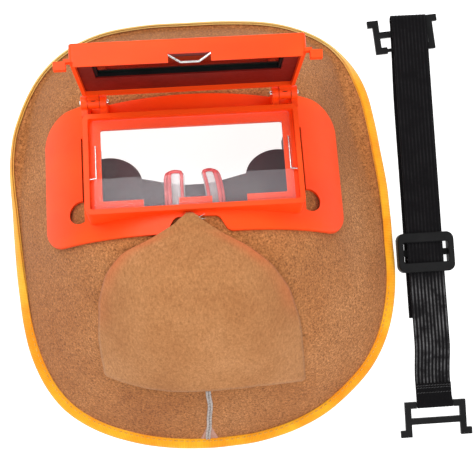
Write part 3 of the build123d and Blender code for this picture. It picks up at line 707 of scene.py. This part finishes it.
def make_binding():
    """Folded tape round the rim: wide and flat at the chin, standing on edge and narrower at the brow."""
    path, painted_light_share = [], []
    for point, side, up in frames_along(rim_points(BINDING_PATH, 420), closed=True):
        brow = smooth((point.y - 84) / 30)
        right = smooth(point.x / 60)
        k = smooth((point.y + 78) / 150) * (1 - 0.75 * right * (1 - brow))
        # painted light: how far the tape is paled at the brow and along the left side
        painted_light_share.append(brow * 0.8 + 0.35 * k * (1 - right) * (1 - brow))
        roll = radians(62) * k
        wide, thick = 1 - 0.50 * k, 1 - 0.42 * k
        turned = side * cos(roll) - up * sin(roll)
        top = up * cos(roll) + side * sin(roll)
        half = 3.1 * wide * sin(roll) + 1.7 * thick * cos(roll)
        drift = 0.25 * wander(point.x, point.y, 0.06, 1.3)
        centre = point + side * (drift + 1.15 * k) + Vector((0, 0, half + 0.05))
        path.append((centre, turned * wide, top * thick))
    profile = [(2.7, -0.2), (2.4, 0.9), (1.2, 1.55), (-1.0, 1.75), (-3.0, 1.5), (-3.5, 1.0), (-3.2, 0.65),
               (-0.4, 0.7), (-0.4, -0.7), (-3.2, -0.65), (-3.5, -1.1), (-3.0, -1.5), (-1.0, -1.7), (1.3, -1.6),
               (2.4, -1.1)]
    piece = swept("edge_binding_tape", path, profile, True, TAPE)
    pale = piece.data.attributes.new("pale", "FLOAT", "POINT")
    pale.data.foreach_set("value", [k for k in painted_light_share for _ in profile])
    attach(piece, "mask")
    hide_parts("edge_binding")
    places = []
    for point, side, up in frames_along(rim_points(BINDING_PATH, 236), closed=True):
        if point.y < -40:
            at = point + Vector((0, 0, STITCH_TOP)) - side * STITCH_INSET
            places.append((at, up.cross(side).normalized(), Vector((0, 0, 1))))
    stitches("edge_binding_stitches", places, 2.3, 0.32, GOLD_THREAD, "mask")


make_binding()


# ---- nose flap --------------------------------------------------------------------------
# the flap's outline on each side, as (height up the mask, place across it)
FLAP_LEFT = ((6, -5.5), (1, -11), (-7.7, -27), (-13, -41), (-24, -51.5), (-38.5, -57), (-60, -59), (-90, -58))
FLAP_RIGHT = ((6, -2), (1, 3.5), (-6.6, 14.7), (-14, 27.6), (-25, 40.5), (-38, 49.6), (-58, 55.6), (-90, 59))
FLAP_ROWS, FLAP_COLUMNS = 76, 72
FLAP_TOP, FLAP_LENGTH = 6, 96
FLAP_CORNERS = (6, 2.5)    # radii of the lower left and lower right corners


def outline_at(stations, y):
    """Where an outline lies across the mask at height y."""
    for (y0, x0), (y1, x1) in zip(stations, stations[1:]):
        if y >= y1:
            return x0 + (x1 - x0) * (y0 - y) / (y0 - y1)
    return stations[-1][1]


def eased(values, passes):
    """Smooth a list of numbers, holding both ends."""
    for _ in range(passes):
        inner = [(a + 2 * b + c) / 4 for a, b, c in zip(values, values[1:], values[2:])]
        values = [values[0]] + inner + [values[-1]]
    return values


def flap_height(x, y, s):
    """Height of the flap's outer face; s runs from -1 to 1 across it."""
    lift = 14.2 * smooth((2 - y) / 90) * (1 - abs(s) ** 2.2)
    fold = 0.7 * wander(x, y, 0.035, 6.6) * smooth((-5 - y) / 30) + 0.12 * wander(x, y, 0.3, 2.2)
    curl = 1.1 * smooth((-80 - y) / 14) * wander(x, 0, 0.05, 9.9)
    over_plate = 1.9 * smooth((y - 0.5) / 3.5)
    return skin(x, y) + 3.1 + lift + fold + curl + over_plate


def make_flap():
    """A shield of leather, sewn down along its arch and bulging free at its lower edge."""
    ys = [FLAP_TOP - FLAP_LENGTH * (i / (FLAP_ROWS - 1)) for i in range(FLAP_ROWS)]
    left = eased([outline_at(FLAP_LEFT, y) for y in ys], 5)
    right = eased([outline_at(FLAP_RIGHT, y) for y in ys], 5)
    bm = bmesh.new()
    painted_orange_glow = bm.verts.layers.float.new("painted_orange_glow")
    rows = []
    for i, y in enumerate(ys):
        from_end = FLAP_LENGTH * (1 - i / (FLAP_ROWS - 1))
        corner_left, corner_right = (r - sqrt(max(0.0, r * r - max(0.0, r - from_end) ** 2))
                                     for r in FLAP_CORNERS)
        x0 = left[i] + corner_left + 0.35 * wander(0, y, 0.12, 3.7)
        x1 = right[i] - corner_right + 0.35 * wander(0, y, 0.12, 12.7)
        row = []
        for k in range(FLAP_COLUMNS + 1):
            s = 2 * k / FLAP_COLUMNS - 1
            x = x0 + (x1 - x0) * (s + 1) / 2
            share = max(0.0, (FLAP_TOP - y) / FLAP_LENGTH) ** 4
            hang = -2.6 * (1 - s * s) + 6.5 * max(0.0, -s) ** 3 - 3 * max(0.0, s) ** 3
            low = y + share * (hang + 0.5 * wander(x, 0, 0.09, 7.1))
            vert = bm.verts.new(Vector((x, low, flap_height(x, low, s))) * MM)
            # painted reflection of the orange frame, strongest along the flap's upper edges
            border = min(x - x0, x1 - x)
            upper = smooth((-2 - y) / 6) * smooth((y + 62) / 30)
            warm = 0.5 + 0.5 * wander(x, y, 0.05, 15.0)
            vert[painted_orange_glow] = upper * warm * smooth((11 - border) / 10) * (1.0 if s > 0 else 0.75)
            row.append(vert)
        rows.append(row)
    for a, b in zip(rows, rows[1:]):
        for k in range(FLAP_COLUMNS):
            bm.faces.new((a[k], b[k], b[k + 1], a[k + 1]))
    flap = object_from("nose_flap_skin", bm, FLAP, EDGE)
    thicken = flap.modifiers.new("thickness", "SOLIDIFY")
    thicken.thickness = 1.8 * MM
    thicken.offset = -1
    thicken.material_offset_rim = 1
    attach(flap, "mask")
    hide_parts("nose_flap")


make_flap()


def hairs(name, roots, radius, material, body, seed):
    """Loose fibres that start at given points and curl away. Each root is (point, direction, length)."""
    bm = bmesh.new()
    for number, (point, way, length) in enumerate(roots):
        rings = []
        place, heading = point.copy(), way.normalized()
        for i in range(6):
            bend = Vector([wander(number * 1.7, i * 0.6, 1.0, seed + 31.7 * axis) for axis in range(3)]) * 0.55
            heading = (heading + bend).normalized()
            side = heading.orthogonal().normalized()
            top = heading.cross(side)
            size = radius * (1 - 0.75 * i / 5)
            rings.append([bm.verts.new((place + (side * cos(a) + top * sin(a)) * size) * MM)
                          for a in (0, 2 * pi / 3, 4 * pi / 3)])
            place = place + heading * (length / 5)
        for a, b in zip(rings, rings[1:]):
            for k in range(3):
                bm.faces.new((a[k], a[(k + 1) % 3], b[(k + 1) % 3], b[k]))
        bm.faces.new(list(reversed(rings[0])))
        bm.faces.new(rings[-1])
    bmesh.ops.recalc_face_normals(bm, faces=bm.faces)
    obj = object_from(name, bm, material)
    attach(obj, body)
    return obj


def make_fray():
    """The torn fibres at the flap's point, and two loose ends of its sewing thread."""
    roots = []
    for i in range(46):
        t = i / 45
        x = -10.5 + 14.5 * t
        y = 5.2 - 0.85 * abs(x + 3.6) + 0.7 * wander(i, 0, 0.7, 4.0)
        z = flap_height(x, y, 0.0) - 0.5
        way = Vector((0.8 * wander(i, 3, 0.9, 1.0), 1.0, 0.12 * wander(i, 9, 0.9, 2.0) - 0.25))
        roots.append((Vector((x, y, z)), way, 1.2 + 0.9 * abs(wander(i, 5, 0.8, 6.0))))
    hairs("nose_flap_fray", roots, 0.22, FRAY, "mask", 2.0)
    tail = [(Vector((1.2, 3.0, flap_height(1.2, 3.0, 0) + 0.1)), Vector((0.9, 0.6, -0.25)), 4.0),
            (Vector((2.2, 2.2, flap_height(2.2, 2.2, 0) + 0.1)), Vector((1.0, 0.1, -0.2)), 3.0)]
    hairs("nose_flap_thread_end", tail, 0.3, PALE_THREAD, "mask", 5.0)


make_fray()


# ---- chin seam --------------------------------------------------------------------------
def make_seam():
    """Two rows of pale cord over the gathered leather, and the small gusset where it meets the rim."""
    for offset in (-0.75, 0.75):
        points = []
        for i in range(90):
            y = -76 - 50.5 * i / 89
            x = SEAM_X + offset + 0.8 * wander(0, y, 0.13, 3.0) - 1.8 * smooth((-108 - y) / 18)
            points.append(Vector((x, y, max(hide(x, y), LEATHER_T + 0.5) + 0.45 + 0.15 * sin(y * 3.1))))
        cord = swept("chin_seam_cord", frames_along(points), round_profile(1.5, 1.5, 2, 10), False,
                     PALE_THREAD)
        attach(cord, "mask")
    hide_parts("chin_seam")
    places = []
    for i in range(26):
        y = -77 - 49 * i / 25
        x = SEAM_X - 1.6 * smooth((-112 - y) / 16)
        at = Vector((x, y, max(hide(x, y), LEATHER_T + 0.5) + 1.2))
        places.append((at, Vector((1, 0.15, 0)), Vector((0, -0.4, 1))))
    stitches("chin_seam_stitches", places, 2.6, 0.2, GREY_THREAD, "mask")
    bm = bmesh.new()
    rows = []
    for i in range(13):
        y = -115.5 - 12.3 * i / 12
        half = 0.8 + 5.6 * (i / 12) ** 1.3
        row = []
        for k in range(15):
            s = 2 * k / 14 - 1
            x = SEAM_X - 0.9 + half * s
            fold = 0.35 * cos(s * 9) * (i / 12)
            row.append(bm.verts.new(Vector((x, y, max(hide(x, y), LEATHER_T) + 0.35 + fold)) * MM))
        rows.append(row)
    for a, b in zip(rows, rows[1:]):
        for k in range(14):
            bm.faces.new((a[k], b[k], b[k + 1], a[k + 1]))
    gusset = object_from("chin_gusset", bm, GUSSET)
    thicken = gusset.modifiers.new("thickness", "SOLIDIFY")
    thicken.thickness = 0.5 * MM
    thicken.offset = -1
    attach(gusset, "mask")


make_seam()


# ---- nose pads --------------------------------------------------------------------------
def make_pad(side, name, width, drift):
    """A curved clear tongue with a blunt tip, a red rib round its edge and a second rib along it."""
    splay = radians(22)
    count = 16
    grid = []
    for i in range(17):
        t = i / 16
        y = -23.8 + 20.4 * t
        narrow = width / 2 * (1 - 0.32 * max(0.0, (t - 0.80) / 0.20) ** 2.2)
        row = []
        for k in range(count + 1):
            s = 2 * k / count - 1
            a, arch = narrow * s, 1.5 * s * s + 0.9 * (1 - t) ** 2 - 1.2 * t * t
            sag = 1.3 * s * s * max(0.0, (t - 0.8) / 0.2)
            row.append(goggle_point(side * 12 + drift * t * t + a * cos(splay) - side * arch * sin(splay),
                                    y - sag, -9.0 - arch - side * a * sin(splay) * 0.9))
        grid.append(row)
    bm = bmesh.new()
    rows = [[bm.verts.new(p * MM) for p in row] for row in grid]
    for a, b in zip(rows, rows[1:]):
        for k in range(count):
            bm.faces.new((a[k], a[k + 1], b[k + 1], b[k]))
    pad = object_from(name + "_tongue", bm, PAD)
    thicken = pad.modifiers.new("thickness", "SOLIDIFY")
    thicken.thickness = 1.3 * MM
    thicken.offset = -1
    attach(pad, "mask")
    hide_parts(name)
    up = Vector((0, sin(TILT), cos(TILT)))
    line = [row[2] for row in grid[:-1]] + grid[-2][3:count - 2]
    line += [row[count - 2] for row in reversed(grid[:-1])]
    rib = swept(name + "_rib", frames_along([p + up * 0.35 for p in line], normal=up),
                round_profile(1.9, 1.1, 2, 10), False, PAD_EDGE)
    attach(rib, "mask")
    column = 5 if side < 0 else count - 5
    middle = swept(name + "_rib_inner", frames_along([row[column] + up * 0.3 for row in grid[:-1]], normal=up),
                   round_profile(2.4, 1.2, 2, 10), False, PAD_EDGE)
    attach(middle, "mask")


make_pad(-1, "nose_pad_left", 12.6, 1.0)
make_pad(1, "nose_pad_right", 11.6, -3.6)


# ---- hinge lugs -------------------------------------------------------------------------
def make_lug_hole_shades():
    """A dark ring in each lug's face, painted shade for the lug's shaded hole, placed in the goggles' frame
    with the cover at rest.
    """
    out = Vector((0, sin(TILT), cos(TILT)))
    for side in (-1, 1):
        centre = goggle_point(side * 52.7, 36.2, 1.8)
        bm = bmesh.new()
        rings = []
        for i in range(28):
            a = 2 * pi * i / 28
            middle = centre + Vector((1.9 * cos(a), 0, 0)) + out.cross(Vector((1, 0, 0))) * (0.95 * sin(a))
            away = (middle - centre).normalized()
            rings.append([bm.verts.new((middle + away * 0.28 * cos(b) + out * 0.28 * sin(b)) * MM)
                          for b in (2 * pi * k / 8 for k in range(8))])
        for a, b in zip(rings, rings[1:] + rings[:1]):
            for k in range(8):
                bm.faces.new((a[k], a[(k + 1) % 8], b[(k + 1) % 8], b[k]))
        bmesh.ops.recalc_face_normals(bm, faces=bm.faces)
        # painted shade: a black ring where the lug's hole lies in shadow
        ring = object_from("hinge_lug_hole_shade_left" if side < 0 else "hinge_lug_hole_shade_right", bm, HOUSING)
        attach(ring, "flip_cover")


make_lug_hole_shades()


# ---- head strap -------------------------------------------------------------------------
RIBS = 10


def ribbed_profile(width, thick, depth):
    """A flat section whose upper face is corded lengthways; returns points and how high each one lies."""
    points, crowns = [], []
    steps = RIBS * 8
    for i in range(steps + 1):
        a = width * (i / steps - 0.5)
        wave = 0.5 - 0.5 * cos(2 * pi * RIBS * i / steps)
        points.append((a, thick / 2 - depth + depth * wave))
        crowns.append(wave ** 3)
    for i in range(steps // 2 + 1):
        a = width * (0.5 - i / (steps // 2))
        wave = 0.5 - 0.5 * cos(2 * pi * RIBS * i / (steps // 2))
        points.append((a, -thick / 2 + 0.4 * depth * (1 - wave)))
        crowns.append(0.0)
    return points, crowns


def strap(name, line, thick, depth, slot_node, body, worn):
    """Webbing along points in the strap's middle plane; worn() tells how far its cords stand out."""
    section, crowns = ribbed_profile(STRAP_W, thick, depth)
    path = []
    for i, p in enumerate(line):
        a, b = line[max(0, i - 1)], line[min(len(line) - 1, i + 1)]
        along = (b - a).normalized()
        side = Vector((1, 0, 0))
        path.append((p, side, side.cross(along).normalized()))
    piece = swept(name, path, section, False, ELASTIC)
    crown = piece.data.attributes.new("crown", "FLOAT", "POINT")
    values = []
    for p in line:
        values.extend(c * worn(p) for c in crowns)
    crown.data.foreach_set("value", values)
    for i, (point, side, top) in enumerate(path):
        flat = 1 - min(1.0, 0.25 + worn(point))
        for k, height in enumerate(crowns):
            if k <= RIBS * 8:
                piece.data.vertices[i * len(section) + k].co += top * (depth * (1 - height) * flat * 0.9 * MM)
    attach(piece, body)
    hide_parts(slot_node)
    return piece


def arc(y, z, radius, start, end, count):
    return [Vector((STRAP_X, y + radius * cos(radians(start + (end - start) * i / count)),
                    z + radius * sin(radians(start + (end - start) * i / count)))) for i in range(count + 1)]


def strap_route():
    """From the sewn tail round clip A's bar, up to the fold and back down under itself."""
    route = [Vector((STRAP_X, CLIP_A_Y + 13 - 0.7 * i, 1.72)) for i in range(13)]
    route += arc(CLIP_A_Y, 2.2, 1.7, 62, 270, 22)
    y = CLIP_A_Y + 0.8
    while y < STRAP_TOP - 3.2:
        climb = 5.9 * smooth((y + 100) / 24)
        sway = 0.35 * wander(0, y, 0.02, 2.5) * smooth((y + 70) / 30) * smooth((110 - y) / 30)
        route.append(Vector((STRAP_X + 0.5 * wander(0, y, 0.012, 5.1), y, 0.5 + climb + sway)))
        y += 1.4
    route += arc(STRAP_TOP - 3, 3.45, 2.95, 88, -90, 18)
    y = STRAP_TOP - 4.2
    while y > -62:
        x = STRAP_X - 0.9 * smooth((STRAP_TOP - y) / 60) + 0.4 * wander(0, y, 0.012, 9.1)
        route.append(Vector((x, y, 0.5)))
        y -= 2.0
    return route


def worn_cords(p):
    """The stretched lower run shows its cords; the upper run is darker and smoother."""
    if p.z < 1.0 and p.y > -90:
        return 0.1
    lower = smooth((-28 - p.y) / 22)
    return 0.07 + 0.93 * lower * smooth((p.y + 108) / 4)


route = strap_route()
webbing = strap("strap_webbing_ribbed", route, 0.98, 0.24, "strap_webbing", "strap", worn_cords)

# the loop sewn round the slider's bar
LOOP_HALF, LOOP_LOW, LOOP_HIGH = 3.6, 1.66, 5.24
loop_mid, loop_bend = (LOOP_LOW + LOOP_HIGH) / 2, (LOOP_HIGH - LOOP_LOW) / 2
loop_line = [Vector((STRAP_X, SLIDER_Y + 17.0 - 0.8 * i, LOOP_LOW)) for i in range(26)]
loop_line += arc(SLIDER_Y - LOOP_HALF + 1.2, loop_mid, loop_bend, -95, -265, 14)
loop_line += [Vector((STRAP_X, SLIDER_Y - LOOP_HALF + 2.0 + 0.8 * i, LOOP_HIGH)) for i in range(6)]
end_loop = strap("strap_end_loop_ribbed", loop_line, 0.9, 0.2, "strap_end_loop", "slider", lambda p: 0.1)

# the tail is bar-tacked down in black thread
tacks = []
for row_y in (-103.2, -104.6, -107.6):
    for i in range(12):
        at = Vector((STRAP_X - 9.9 + 1.8 * i, row_y, 2.26))
        tacks.append((at, Vector((1, 0.25, 0)), Vector((0, 0, 1))))
stitches("strap_tail_stitches", tacks, 1.5, 0.2, BLACK_THREAD, "strap")


# ---- camera, lights and floor -----------------------------------------------------------
CAMERA_AT = (-0.00497, -0.03647, 0.60385)
CAMERA_LEAN = (3.31, -2.83, -3.49)       # pitch, sideways lean and roll, degrees
LENS_MM = 74.1


def set_stage():
    """A white floor, three area lights, an even world, and the camera."""
    bm = bmesh.new()
    bmesh.ops.create_grid(bm, x_segments=8, y_segments=8, size=3.0)
    floor = object_from("stage_floor", bm, pale_floor())
    lights = (
        ("key_light", (-0.55, 0.75, 1.35), 1.0, 17.0),
        ("fill_light", (0.95, -0.25, 1.25), 1.2, 10.0),
        ("front_light", (-0.2, -1.1, 1.3), 1.2, 9.0),
    )
    for name, place, size, power in lights:
        data = bpy.data.lights.new(name, "AREA")
        data.size = size
        data.energy = power
        light = bpy.data.objects.new(name, data)
        light.location = place
        light.rotation_euler = (Vector((0.02, 0, 0.03)) - Vector(place)).to_track_quat("-Z", "Y").to_euler()
        scene.collection.objects.link(light)
    world = bpy.data.worlds.new("studio")
    scene.world = world
    world.use_nodes = True
    world.node_tree.nodes["Background"].inputs["Color"].default_value = WHITE
    world.node_tree.nodes["Background"].inputs["Strength"].default_value = 0.5
    scene.view_settings.view_transform = "Standard"
    pitch, lean, roll = (radians(v) for v in CAMERA_LEAN)
    turn = Matrix.Rotation(lean, 3, "Y") @ Matrix.Rotation(pitch, 3, "X") @ Matrix.Rotation(roll, 3, "Z")
    data = bpy.data.cameras.new("camera")
    data.sensor_width = 36.0
    data.lens = LENS_MM
    data.clip_start = 0.01
    camera = bpy.data.objects.new("camera", data)
    camera.rotation_mode = "QUATERNION"
    camera.rotation_quaternion = turn.to_quaternion()
    camera.location = CAMERA_AT
    scene.collection.objects.link(camera)
    scene.camera = camera


set_stage()
